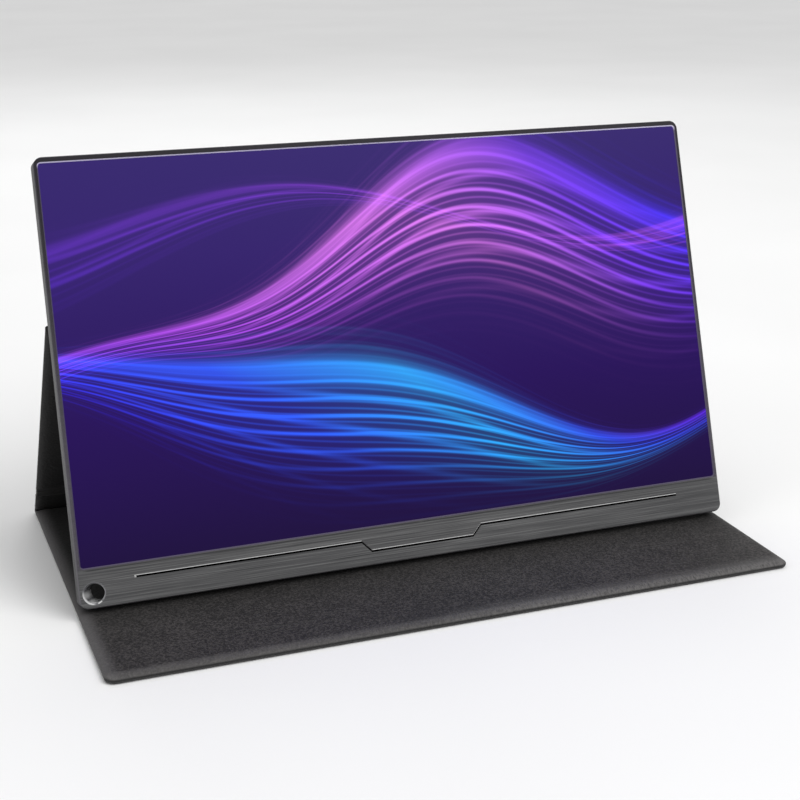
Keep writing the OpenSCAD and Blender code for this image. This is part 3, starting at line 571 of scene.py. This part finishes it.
LOOKS = [
    # maker, what it takes, the nodes that wear it
    (brushed_frame, (), ["front_frame"]),
    (satin_shell, (), ["rear_shell"]),
    (turned_sleeve, (), ["pen_hole_sleeve"]),
    (screen_picture, (), ["screen_glass"]),
    (plain, ("cell_glass", "#14161c", "#1d2029", 0.15), ["lcd_cell"]),
    (plain, ("white_film", "#dcdde0", "#f0f1f2", 0.6), ["diffuser_films", "reflector_sheet", "led_bar"]),
    (plain, ("clear_guide", "#c6d2d6", "#dde6e9", 0.12), ["light_guide"]),
    (plain, ("tray_steel", "#9b9da0", "#b7b9bc", 0.35, 1.0), ["panel_tray"]),
    (board, ("board_green", "#0f4a2c", "#2b7a4c"), ["timing_board", "main_board", "button_board"]),
    (plain, ("chip_black", "#1a1b1d", "#26282a", 0.5), ["main_chips", "key_switches"]),
    (plain, ("ribbon_amber", "#8a4a12", "#b5651d", 0.3), ["panel_ribbon"]),
    (plain, ("ribbon_white", "#c8c2b4", "#ddd8cc", 0.5), ["video_ribbon", "button_ribbon"]),
    (plain, ("spreader_metal", "#b4b6b8", "#cdcfd1", 0.3, 1.0), ["heat_spreader"]),
    (plain, ("screw_steel", "#77797c", "#929497", 0.3, 1.0), ["board_screws", "case_screws", "rocker_pin"]),
    (plain, ("socket_steel", "#a9abad", "#c6c8ca", 0.24, 1.0),
     ["usb_c_lower", "usb_c_upper", "mini_hdmi_socket"]),
    (plain, ("jack_plastic", "#141416", "#1f2022", 0.3), ["audio_jack"]),
    (plain, ("key_metal", "#77787b", "#8f9093", 0.34, 1.0), ["power_button", "menu_rocker"]),
    (plain, ("light_lens", "#dfe8f0", "#f2f7fb", 0.25), ["status_light"]),
    (plain, ("speaker_plastic", "#17181a", "#242628", 0.6), ["speaker_left", "speaker_right"]),
    (plain, ("lead_rubber", "#8a2222", "#a83030", 0.5), ["speaker_leads"]),
    (plain, ("magnet_metal", "#8a8c90", "#a6a8ab", 0.25, 1.0),
     ["dock_magnets", "attach_magnets", "rest_magnets", "closing_magnets"]),
    (fibre, ("stiff_board", "#6f5a3e", "#8c7556"),
     ["attach_board", "prop_board", "spine_board", "cover_board"]),
]

for make, values, nodes in LOOKS:
    look = make(*values)
    for node in nodes:
        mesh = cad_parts[node].data
        mesh.materials.clear()
        mesh.materials.append(look)


# ---- Leather of the cover ----

def leather(name, dark, mid, light, depth=0.00022, light_and_marks=None):
    """Fine pebbled leather: speckled grain, creases between pebbles and a slow change of tone.

    The last argument, a function of (m, colour, normal), adds one panel's painted shade, painted highlights
    and marks.
    """
    m = Material(name, 0.6, 0.0, Specular_IOR_Level=0.3, Sheen_Weight=0.05, Sheen_Roughness=0.5)
    at = m.place()
    pebbles = m.cells(at, 820.0, "SMOOTH_F1")
    speckle = m.noise(at, 760.0, 2.0, 0.7)
    dust = m.noise(at, 1700.0, 1.0, 0.5)
    folds = m.noise(at, 75.0, 5.0, 0.6, 0.4)
    worn = m.noise(at, 14.0, 4.0, 0.6)
    tone = speckle * 0.55 + dust * 0.25 + folds * 0.1 + worn * 0.1
    colour = m.ramp(tone, (0.41, srgb(dark)), (0.49, srgb(mid)), (0.58, srgb(light)))
    height = (1.0 - pebbles * 1.2).clamp() * 0.7 + speckle * 0.3
    normal = m.bump(height, depth, 0.7)
    if light_and_marks:
        colour, normal = light_and_marks(m, colour, normal)
    return m.set(
        Base_Color=colour,
        Roughness=0.66 - height * 0.14 + (worn - 0.5) * 0.1,
        Normal=normal,
    )


def monitor_shade_mask(y):
    """Mask of painted shade: 1 under and behind the monitor, fading out over 30 mm in front of it as a
    painted shadow, 0 on the open front of the cover, for y across the cover's floor.
    """
    near = y.above(MONITOR_Y - 0.030, MONITOR_Y + 0.004)
    return near * 0.55 + y.above(MONITOR_Y - 0.004, MONITOR_Y + 0.012) * 0.45


PRESSES = [
    # distance of a pressed line from the front edge, and its two ends across the width
    (0.0194, 0.101, 0.147),
    (0.0435, 0.108, 0.146),
    (0.0237, -0.115, -0.072),
]
PRESS_W = 0.00045
PRESS_SOFT = 0.006

# Distances from an edge between which its painted highlights, pleats and painted seam shade fade out
EDGE_HIGHLIGHT_LEFT = (0.0015, 0.0085)
EDGE_HIGHLIGHT_RIGHT = (0.0005, 0.004)
SHOULDER_HIGHLIGHT = (0.003, 0.007)
WIDE_SHOULDER_HIGHLIGHT = (0.004, 0.013)
PLEATS = (0.002, 0.010)
SEAM_SHADE = (0.004, 0.006)

SEAM_SHADE_Z = (0.0009, 0.0018)      # heights between which the shade of the seam fades out
SHOULDER_HIGHLIGHT_X = (-0.05, 0.05)           # places across the width between which the wide shoulder sets in
PLEATS_X = (-0.12, 0.06)             # and between which the pleats grow deeper


def pressed_lines(x, y):
    """Short lines across the width, pressed through the lining by what lies under it."""
    marks = None
    for distance, x1, x2 in PRESSES:
        mark = y.hump(distance - FRONT_LEN, PRESS_W) * x.inside(x1, x2, PRESS_SOFT)
        marks = mark if marks is None else marks + mark
    return marks


def front_lining_light_and_marks(m, colour, normal):
    """The front panel's lining: painted shade behind the monitor with a painted shadow in front of it,
    painted highlights and pleats along its open edges, painted shade in the pleats, in the pressed lines and
    along the seam.
    """
    x, y, z = m.split(m.place(IN_FRONT))
    left = x + COVER_W / 2
    right = COVER_W / 2 - x
    front = y + FRONT_LEN
    monitor_shade_colour = m.mix(1.0, colour, (0.27, 0.27, 0.28, 1), "MULTIPLY")
    # painted shade under and behind the monitor, and a painted shadow in front of it
    colour = m.mix(monitor_shade_mask(y + REAR_Y), colour, monitor_shade_colour)

    marks = pressed_lines(x, y)
    normal = m.bump(1.0 - marks, 0.00035, 1.0, normal)
    # painted shade in the pressed lines
    colour = m.mix(marks * 0.55, colour, srgb("#141313"))

    # painted highlight along the left edge, fainter along the right
    edge_highlight = (left.below(*EDGE_HIGHLIGHT_LEFT) + right.below(*EDGE_HIGHLIGHT_RIGHT) * 0.35).clamp()
    colour = m.mix(edge_highlight * 0.72, colour, srgb("#565455"))
    # painted highlight on the rounded front shoulder, wider on the right half
    shoulder_highlight = front.below(*SHOULDER_HIGHLIGHT) * 0.45
    shoulder_highlight = shoulder_highlight + front.below(*WIDE_SHOULDER_HIGHLIGHT) * x.above(*SHOULDER_HIGHLIGHT_X) * 0.4
    colour = m.mix(shoulder_highlight, colour, srgb("#666463"))

    pleats = m.noise(m.place(IN_FRONT, (900.0, 380.0, 380.0)), 1.0, 2.0, 0.6, 0.6)
    pleated = front.below(*PLEATS) * (x.above(*PLEATS_X) * 0.6 + 0.4)
    normal = m.bump(pleats * pleated, 0.0006, 1.0, normal)
    # painted shade in the hollows of the pleats
    colour = m.mix(pleated * (0.56 - pleats).clamp() * 2.6, colour, srgb("#2b2a2a"))
    # painted shade along the seam under the front edge
    painted_seam_shade = z.below(*SEAM_SHADE_Z) * front.below(*SEAM_SHADE)
    colour = m.mix(painted_seam_shade * 0.9, colour, srgb("#0e0d0d"))
    return colour, normal


OUTER_LEATHER = leather("cover_leather", "#1f1e1e", "#2b2a2a", "#3a3939")
INNER_LEATHER = leather("lining_leather", "#151312", "#2a2827", "#444140", light_and_marks=front_lining_light_and_marks)
# a darker copy of the lining leather: painted shade for the linings of the spine, the prop and the attached
# panel
SHADED_LINING_LEATHER = leather("shaded_lining_leather", "#131212", "#1a1919", "#232222")
CREASE_LEATHER = leather("crease_leather", "#1b1a1a", "#232222", "#2d2c2b", depth=0.00016)


# ---- Padded panels of the cover ----

SKIN_LOW = -CREASE_D
SKIN_HIGH = COVER_T - CREASE_D
BOARD_LOW = SKIN_LOW + OUTER_SKIN_T
BOARD_HIGH = BOARD_LOW + BOARD_T
SEAM_DROP = 0.0002           # of the seam below the middle of the thickness
SEAM = (SKIN_LOW + SKIN_HIGH) / 2 - SEAM_DROP
SEAM_GROOVE = 0.00025        # each skin's share of the groove between the two
SEAM_LAP = 0.0012            # width over which the two skins close round the board
RIM_BACK = 0.0004            # height of the lining's back there
LEATHER_LOW = 0.0009         # depth of the thin leather's outer face below the crease line
CREASE_FALL = 0.0035         # distance over which a face falls to its crease
UNEVEN_START = 0.006         # distance from an edge where a face begins to be uneven
UNEVEN_RUN = 0.01            # and over which that comes to its full height

GRID_STEP = 0.004
RING_STEPS = 9               # rings of points in a rounded corner
EDGE_ROWS = [0.0062, 0.0075, 0.009]
CREASE_ROWS = [0.0, 0.0004, 0.0009, 0.0015, 0.0022, 0.003, 0.004, 0.005, 0.0065, 0.008]
SHARP = 0.0001               # width of a sharp step; a point nearer than this is on the crease
FAR = 1.0                    # distance from the nearest crease where there is none

# A point of a panel's grid: its place, its distance from the free edges, its distance from the nearest
# crease, that crease's style, and -1 or 1 for the end that the crease is at
Spot = collections.namedtuple("Spot", "x y edge crease style way")


def new_piece(name, points, faces, look):
    mesh = bpy.data.meshes.new(name)
    mesh.from_pydata([tuple(p) for p in points], [], faces)
    mesh.validate()
    mesh.materials.append(look)
    piece = bpy.data.objects.new(name, mesh)
    bpy.context.scene.collection.objects.link(piece)
    mesh.shade_smooth()
    return piece


def smooth(t):
    """0 below 0 and 1 above 1, with a smooth step between."""
    t = min(max(t, 0.0), 1.0)
    return t * t * (3 - 2 * t)


def ripple(x, y, seed):
    """A slow, shallow unevenness of padded leather, from a few fixed waves."""
    count = 7
    rng = np.random.default_rng(seed)
    total = 0.0
    for _ in range(count):
        wave = rng.uniform(18, 75)
        turn = rng.uniform(0, math.tau)
        along = x * math.cos(turn) + y * math.sin(turn)
        total += math.sin(along * wave * math.tau / 2 + rng.uniform(0, math.tau)) / count
    return total


def ring_inset(ring):
    """Distance from the edge of a corner's ring of points, closer together near the edge."""
    return CORNER_R * (ring / RING_STEPS) ** 1.5


def grid_line(length, first, last):
    """Distances along a line: the given rows at its two ends, and even steps between."""
    gap = 0.001
    if length < first[-1] + last[-1] + GRID_STEP:
        keep = (length - gap) / 2
        first = [d for d in first if d < keep]
        last = [d for d in last if d < keep]
    middle = length - first[-1] - last[-1]
    count = max(1, round(middle / GRID_STEP))
    inside = [first[-1] + middle * k / count for k in range(1, count)]
    return [*first, *inside, *[length - d for d in reversed(last)]]


def grid_rim(columns, rows):
    """Numbers of the points round a grid, in order."""
    rim = list(range(columns))
    rim += [j * columns + columns - 1 for j in range(1, rows)]
    rim += [(rows - 1) * columns + i for i in range(columns - 2, -1, -1)]
    rim += [j * columns for j in range(rows - 2, 0, -1)]
    return rim


class Panel:
    """The grid that both skins of a cover panel share.

    Each end is free, with rounded corners, or a crease: "mitre" where two linings meet in a sharp fold,
    "shallow" where the lining runs on over the crease, "deep" where it is pressed down to the thin leather.
    """

    def __init__(self, matrix, width, y1, y2, end1, end2):
        self.matrix = matrix
        self.width = width
        self.y1 = y1
        self.end1 = end1
        self.end2 = end2
        free = [ring_inset(ring) for ring in range(RING_STEPS + 1)] + EDGE_ROWS
        rows1, rows2 = [free if end == "free" else CREASE_ROWS for end in (end1, end2)]
        self.xs = grid_line(width, free, free)
        self.ys = grid_line(y2 - y1, rows1, rows2)
        self.nx = len(self.xs)
        self.ny = len(self.ys)

    def corner(self, across, along, side, way):
        """Place in a rounded corner, so many rings out across and along, and its distance from the edge."""
        inset = ring_inset(RING_STEPS - max(across, along))
        radius = CORNER_R - inset
        if across >= along:
            angle = math.pi / 4 * (along / across)
        else:
            angle = math.pi / 2 - math.pi / 4 * (across / along)
        centre_x = CORNER_R if side < 0 else self.width - CORNER_R
        centre_y = CORNER_R if way < 0 else self.ys[-1] - CORNER_R
        return centre_x + side * radius * math.cos(angle), centre_y + way * radius * math.sin(angle), inset

    def spot(self, i, j):
        """The Spot of a grid point."""
        x = self.xs[i]
        y = self.ys[j]
        side = -1 if i < self.nx / 2 else 1
        rings_across = RING_STEPS - min(i, self.nx - 1 - i)
        edge = min(x, self.width - x)
        nearest = (FAR, "free", 0)
        ends = [(-1, self.end1, y, j), (1, self.end2, self.ys[-1] - y, self.ny - 1 - j)]
        for way, style, away, row in ends:
            if style == "free":
                edge = min(edge, away)
                rings_along = RING_STEPS - row
                if rings_across > 0 and rings_along > 0:
                    x, y, edge = self.corner(rings_across, rings_along, side, way)
            elif away < nearest[0]:
                nearest = (away, style, way)
        return Spot(x - self.width / 2, y + self.y1, edge, *nearest)

    def skin(self, name, is_lining, face, back, look):
        """A closed skin: its shaped face, and a plain back against the board."""
        outside = []
        inside = []
        for j in range(self.ny):
            for i in range(self.nx):
                spot = self.spot(i, j)
                z_back = back(spot)
                y_back = spot.y
                # at a mitred crease the end of the back lies in the mitre's plane
                if is_lining and spot.style == "mitre" and spot.crease < SHARP:
                    y_back = -spot.way * (z_back / math.tan(PROP_ANGLE / 2) + CREASE_GAP)
                outside.append(self.matrix @ Vector((spot.x, spot.y, face(spot))))
                inside.append(self.matrix @ Vector((spot.x, y_back, z_back)))
        total = len(outside)
        faces = []
        for j in range(self.ny - 1):
            for i in range(self.nx - 1):
                a = j * self.nx + i
                quad = (a, a + 1, a + 1 + self.nx, a + self.nx)
                under = tuple(total + k for k in quad)
                faces += [quad, under[::-1]] if is_lining else [quad[::-1], under]
        rim = grid_rim(self.nx, self.ny)
        for a, b in zip(rim, rim[1:] + rim[:1]):
            quad = (a, total + a, total + b, b)
            faces.append(quad if is_lining else quad[::-1])
        return new_piece(name, outside + inside, faces, look)


def lining_face(seed):
    """Padded face: crowned towards its free edges, lower at its creases."""
    edge_round = 0.006
    uneven = 0.00012
    mitre_dip = 0.00015
    mitre_w = 0.0008
    base = SEAM + SEAM_GROOVE
    falls = {"free": 0.0, "mitre": 0.0, "shallow": 0.0005, "deep": SKIN_HIGH - FOLD_R}

    def height(spot):
        t = min(spot.edge / edge_round, 1.0)
        crown = math.sqrt(max(0.0, 1 - (1 - t) ** 2.2))
        z = base + (SKIN_HIGH - base) * crown
        inland = smooth((spot.edge - UNEVEN_START) / UNEVEN_RUN)
        z -= uneven * inland * (0.6 + 0.4 * ripple(spot.x, spot.y, seed))
        fall = falls[spot.style] * (1 - smooth(spot.crease / CREASE_FALL))
        z -= fall * (z - FOLD_R) / (SKIN_HIGH - FOLD_R)
        if spot.style == "mitre":
            z -= mitre_dip * (1 - smooth(spot.crease / mitre_w))
        return z

    return height


def lining_back(spot):
    if min(spot.edge, spot.crease) < SEAM_LAP:
        return min(SEAM, RIM_BACK)
    return BOARD_HIGH


def leather_face(seed):
    """Outer leather: a small round at its free edges and a pressed line just inside them."""
    edge_round = 0.0016
    line_inset = 0.0042
    line_w = 0.0004
    line_depth = 0.00018
    line_end = 0.002
    uneven = 0.00004
    base = SEAM - SEAM_GROOVE

    def height(spot):
        t = min(spot.edge / edge_round, 1.0)
        crown = math.sqrt(max(0.0, 1 - (1 - t) ** 2))
        z = base + (SKIN_LOW - base) * crown
        line = math.exp(-((spot.edge - line_inset) / line_w) ** 2)
        z += line_depth * line * smooth(spot.crease / line_end)
        inland = smooth((spot.edge - UNEVEN_START) / UNEVEN_RUN)
        z += uneven * (1 + ripple(spot.x, spot.y, seed)) * inland
        if z < -LEATHER_LOW:
            z += (-LEATHER_LOW - z) * (1 - smooth(spot.crease / CREASE_FALL))
        return z

    return height


def leather_back(spot):
    rim_t = 0.00002
    if spot.crease < SEAM_LAP:
        return -SHARP
    if spot.edge < SEAM_LAP:
        return SEAM - SEAM_GROOVE - rim_t
    return BOARD_LOW


PANELS = [
    # name, matrix, width, y1, y2, end1, end2, body, seed, lining
    ("cover", IN_FRONT, COVER_W, -FRONT_LEN, -REAR_GAP,
     "free", "mitre", "front_cover", 11, INNER_LEATHER),
    ("spine", IN_PROP, COVER_W, REAR_GAP, SPINE_LEN - FOLD_GAP,
     "mitre", "shallow", "spine", 12, SHADED_LINING_LEATHER),
    ("prop", IN_PROP, COVER_W, SPINE_LEN + FOLD_GAP, PROP_TOTAL - FOLD_GAP,
     "shallow", "deep", "prop", 13, SHADED_LINING_LEATHER),
    ("attach", IN_ATTACH, MONITOR_W - 2 * ATTACH_INSET, FOLD_GAP, MONITOR_H - ATTACH_INSET - FOLD_V,
     "deep", "free", "monitor", 14, SHADED_LINING_LEATHER),
]

for key, matrix, width, y1, y2, end1, end2, body, seed, lining in PANELS:
    grid = Panel(matrix, width, y1, y2, end1, end2)
    inner = grid.skin(f"{key}_lining", True, lining_face(seed), lining_back, lining)
    outer = grid.skin(f"{key}_leather", False, leather_face(seed + 50), leather_back, OUTER_LEATHER)
    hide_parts(f"{key}_inner_skin")
    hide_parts(f"{key}_outer_skin")
    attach(inner, body)
    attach(outer, body)


# ---- Creases of thin leather ----

class Arm:
    """One panel's side of a crease: the ways off the fold and out of the lining, and the panel's end."""

    def __init__(self, matrix, way, gap):
        turn = matrix.to_3x3()
        self.away = turn @ Vector((0, way, 0))
        self.up = turn @ Vector((0, 0, 1))
        self.gap = gap

    def at(self, fold, s, z):
        """The point s away from the fold and z out of the lining."""
        return fold + self.away * s + self.up * z


def fold_face(fold, arm_a, arm_b, height, lap_height, side, rows=12, round_r=0.0004):
    """Profile of one face of a crease strip, from under panel a to under panel b.

    height is the distance of the face from the crease line, on the side that side names (1 is the
    lining's), and lap_height that of the laps under the panels.
    """
    lap = 0.0006
    cosine = arm_a.away.dot(arm_b.away)
    between_arms = math.acos(max(-1.0, min(1.0, cosine)))
    flat = between_arms > math.pi - 0.01
    toward = arm_a.up * side
    hollow = not flat and toward.dot(arm_b.away) > 0
    start = (height + round_r) / math.tan(between_arms / 2) if hollow else 0.0
    ends = []
    for arm in (arm_a, arm_b):
        stop = arm.gap - SHARP
        stops = [(arm.gap + lap, lap_height), (arm.gap + SHARP, lap_height), (stop, height)]
        stops += [(start + (stop - start) * k / 3, height) for k in (2, 1)]
        ends.append([arm.at(fold, s, z * side) for s, z in stops])
    if flat:
        span = (arm_a.gap - SHARP) / 3
        places = [span * (2 * k / rows - 1) * 0.9 for k in range(rows + 1)]
        arc = [fold + arm_b.away * place + toward * height for place in places]
        return ends[0] + arc + ends[1][::-1]
    if hollow:
        bisector = (arm_a.away + arm_b.away).normalized()
        centre = fold + bisector * ((height + round_r) / math.sin(between_arms / 2))
        first = arm_a.at(fold, start, height * side) - centre
        last = arm_b.at(fold, start, height * side) - centre
    else:
        centre = fold
        first = arm_a.up * side * height
        last = arm_b.up * side * height
    whole = first.angle(last) * (1 if first.cross(last).x > 0 else -1)
    arc = [centre + Matrix.Rotation(whole * k / rows, 3, "X") @ first for k in range(rows + 1)]
    return ends[0] + arc + ends[1][::-1]


def strip_columns(width):
    """Places across a crease strip, and the share of its thickness there: its two ends are rounded."""
    count = 60
    border = 0.0006
    step = 0.00015
    half = width / 2
    end = [(-half + step * k, 0.4 + 0.3 * k) for k in (0, 1, 2)]
    middle = [(-half + border + (width - 2 * border) * k / count, 1.0) for k in range(count + 1)]
    return end + middle + [(-x, share) for x, share in reversed(end)]


def crease_strip(name, node, width, fold, arm_a, arm_b, low, high, reach=0.0012):
    """Leather across a crease: low and high are its outer and inner face's distances from the crease line."""
    lap_high = min(high, BOARD_HIGH) - 0.00015
    lap_low = low - 0.0002
    inner = fold_face(fold, arm_a, arm_b, high, lap_high, 1)
    outer = fold_face(fold, arm_a, arm_b, low, lap_low, -1)
    columns = strip_columns(width)
    n = len(columns)
    rows = len(inner)
    total = rows * n
    points = []
    for face in (inner, outer):
        for k in range(rows):
            middle = (inner[k] + outer[k]) / 2
            for x, share in columns:
                p = middle + (face[k] - middle) * share
                points.append(Vector((x, p.y, p.z)))
    faces = []
    for k in range(rows - 1):
        for i in range(n - 1):
            quad = (k * n + i, k * n + i + 1, (k + 1) * n + i + 1, (k + 1) * n + i)
            faces.append(quad)
            faces.append(tuple(total + v for v in quad[::-1]))
    rim = grid_rim(n, rows)
    for p, q in zip(rim, rim[1:] + rim[:1]):
        faces.append((p, total + p, total + q, q))
    piece = new_piece(name, points, faces, CREASE_LEATHER)
    build = bmesh.new()
    build.from_mesh(piece.data)
    bmesh.ops.recalc_face_normals(build, faces=build.faces)
    build.to_mesh(piece.data)
    build.free()
    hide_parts(node)
    tuple(arm_a.at(fold, reach, 0))
    tuple(arm_b.at(fold, reach, 0))
    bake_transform(piece)


STRIP_INSET = 0.0002
STRIP_HIGH = 0.00075         # inner face of a strip where the linings stay clear of the crease
SHALLOW_HIGH = 0.0020        # and where the lining runs on over it
COVER_STRIP_W = COVER_W - 2 * STRIP_INSET
ATTACH_STRIP_W = MONITOR_W - 2 * ATTACH_INSET - 2 * STRIP_INSET
REAR_FOLD = IN_FRONT @ Vector((0, 0, 0))
PROP_FOLD = IN_PROP @ Vector((0, SPINE_LEN, 0))
BACK_FOLD = IN_PROP @ Vector((0, PROP_TOTAL, 0))

crease_strip("rear_crease_leather", "rear_crease", COVER_STRIP_W, REAR_FOLD,
             Arm(IN_FRONT, -1, REAR_GAP), Arm(IN_PROP, 1, REAR_GAP),
             LEATHER_LOW, STRIP_HIGH)
crease_strip("prop_crease_leather", "prop_crease", COVER_STRIP_W, PROP_FOLD,
             Arm(IN_PROP, -1, FOLD_GAP), Arm(IN_PROP, 1, FOLD_GAP),
             LEATHER_LOW, SHALLOW_HIGH)
crease_strip("back_crease_leather", "back_crease", ATTACH_STRIP_W, BACK_FOLD,
             Arm(IN_PROP, -1, FOLD_GAP), Arm(IN_ATTACH, 1, FOLD_GAP),
             LEATHER_LOW, STRIP_HIGH)


# ---- Stage and light ----

FLOOR_DROP = 0.0002          # of the floor below the cover, so that the two faces don't meet
FLOOR_CORNERS = [(-6, -4, 0), (6, -4, 0), (6, 8, 0), (-6, 8, 0)]
WORLD_GREY = (0.97, 0.97, 0.97, 1)
WORLD_STRENGTH = 0.45
SOFTBOXES = [
    # name, place, what it faces, size, power in watts
    ("key_light", (0.9, -1.3, 1.5), (0, 0, 0.08), 1.3, 16.0),
    ("side_light", (-1.5, -0.5, 0.8), (0, 0, 0.05), 0.9, 3.5),
    ("back_light", (0.2, 1.5, 1.4), (0, 0, 0.08), 1.2, 8.0),
]
SUN_STRENGTH = 1.3
SUN_ANGLE = math.radians(60)
SUN_WAY = Vector((-0.35, 0.75, -1.0))


def make_floor():
    mesh = bpy.data.meshes.new("floor")
    mesh.from_pydata(FLOOR_CORNERS, [], [(0, 1, 2, 3)])
    floor = bpy.data.objects.new("floor", mesh)
    bpy.context.scene.collection.objects.link(floor)
    floor.location.z = -FLOOR_DROP
    m = Material("floor_pale", 0.75, Specular_IOR_Level=0.2)
    tone = m.noise(m.place(), 3.0)
    mesh.materials.append(m.set(Base_Color=m.ramp(tone, (0.3, srgb("#f0f0f0")), (0.7, srgb("#f4f4f4")))))


def make_world():
    world = bpy.data.worlds.new("studio")
    bpy.context.scene.world = world
    world.use_nodes = True
    background = world.node_tree.nodes["Background"]
    background.inputs["Color"].default_value = WORLD_GREY
    background.inputs["Strength"].default_value = WORLD_STRENGTH


def add_light(name, data, way, location=(0, 0, 0)):
    """A light that shines along way."""
    light = bpy.data.objects.new(name, data)
    light.location = location
    light.rotation_euler = way.to_track_quat("-Z", "Y").to_euler()
    bpy.context.scene.collection.objects.link(light)


def make_softbox(name, location, target, size, power):
    data = bpy.data.lights.new(name, "AREA")
    data.shape = "RECTANGLE"
    data.size = size
    data.size_y = size
    data.energy = power
    add_light(name, data, Vector(target) - Vector(location), location)


def make_sun():
    data = bpy.data.lights.new("high_light", "SUN")
    data.energy = SUN_STRENGTH
    data.angle = SUN_ANGLE
    add_light("high_light", data, SUN_WAY)


make_floor()
make_world()
for softbox in SOFTBOXES:
    make_softbox(*softbox)
make_sun()
bpy.context.scene.view_settings.view_transform = "Standard"
